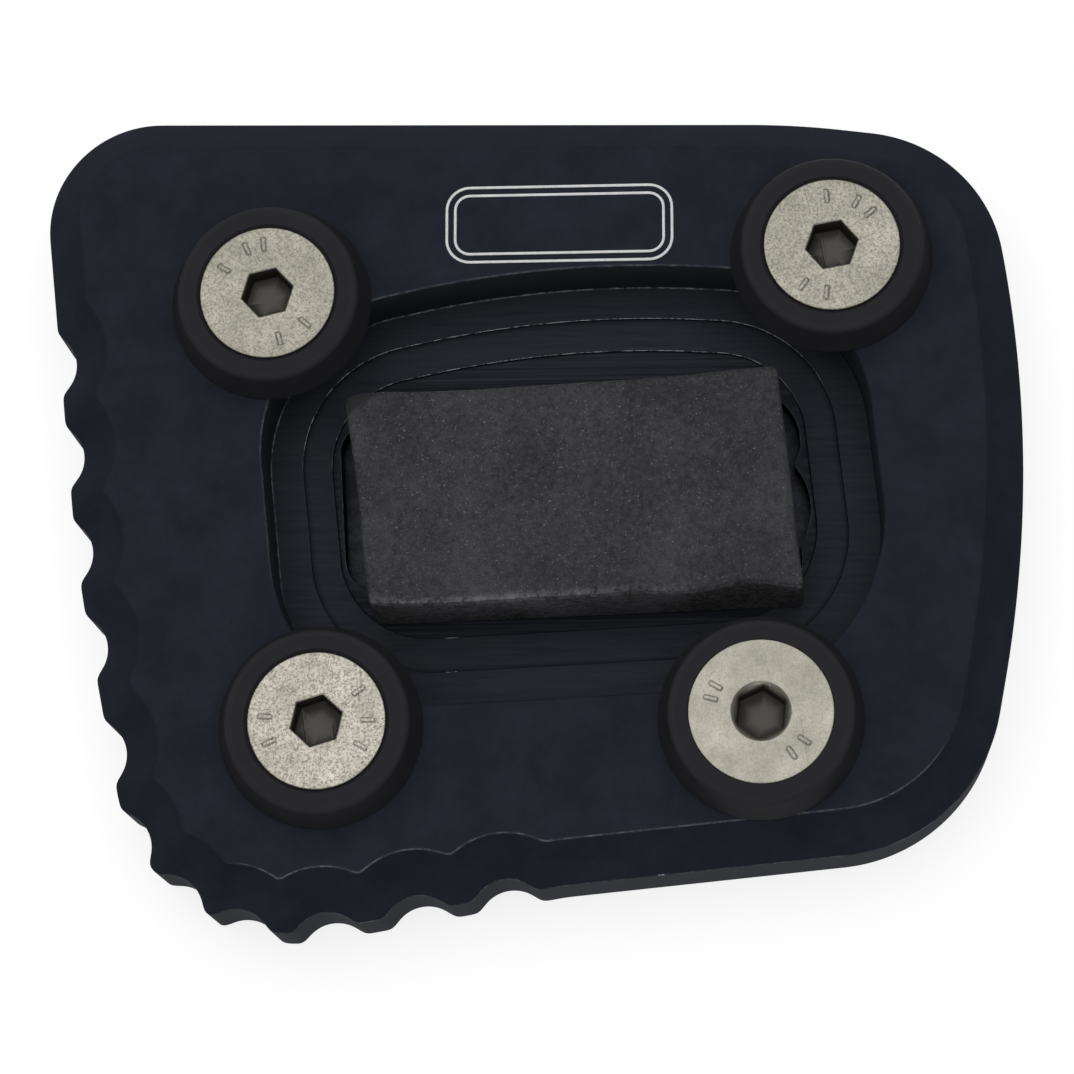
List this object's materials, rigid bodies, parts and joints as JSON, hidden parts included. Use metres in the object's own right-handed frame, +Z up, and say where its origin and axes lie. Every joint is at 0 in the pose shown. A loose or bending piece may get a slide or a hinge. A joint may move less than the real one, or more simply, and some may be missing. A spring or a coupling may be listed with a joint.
{
  "type": "kickstand foot enlarger",
  "caption": "Machined side stand foot plate with a bevelled, scalloped edge, a terraced seat with a foam pad, and clamp discs under countersunk screws.",
  "frame": {"origin": "on the ground face, under the middle of the plate's bounding box", "axes": "+X to the right of the picture along the plate's length, +Z up out of the seat"},
  "size_m": [0.0878, 0.0744, 0.0155],
  "materials": {
    "anodised_plate": "black anodised, satin",
    "foam": "cellular rubber foam, matte",
    "disc_plastic": "turned, satin",
    "screw_steel": "stainless, satin"
  },
  "bodies": {
    "root": {"base_plate": "anodised_plate", "foam_pad": "foam", "clamp_disc_top_left": "disc_plastic", "clamp_disc_top_right": "disc_plastic", "clamp_disc_bottom_left": "disc_plastic", "clamp_disc_bottom_right": "disc_plastic", "screw_top_left": "screw_steel", "screw_top_right": "screw_steel", "screw_bottom_left": "screw_steel", "screw_bottom_right": "screw_steel"}
  },
  "joints": []
}
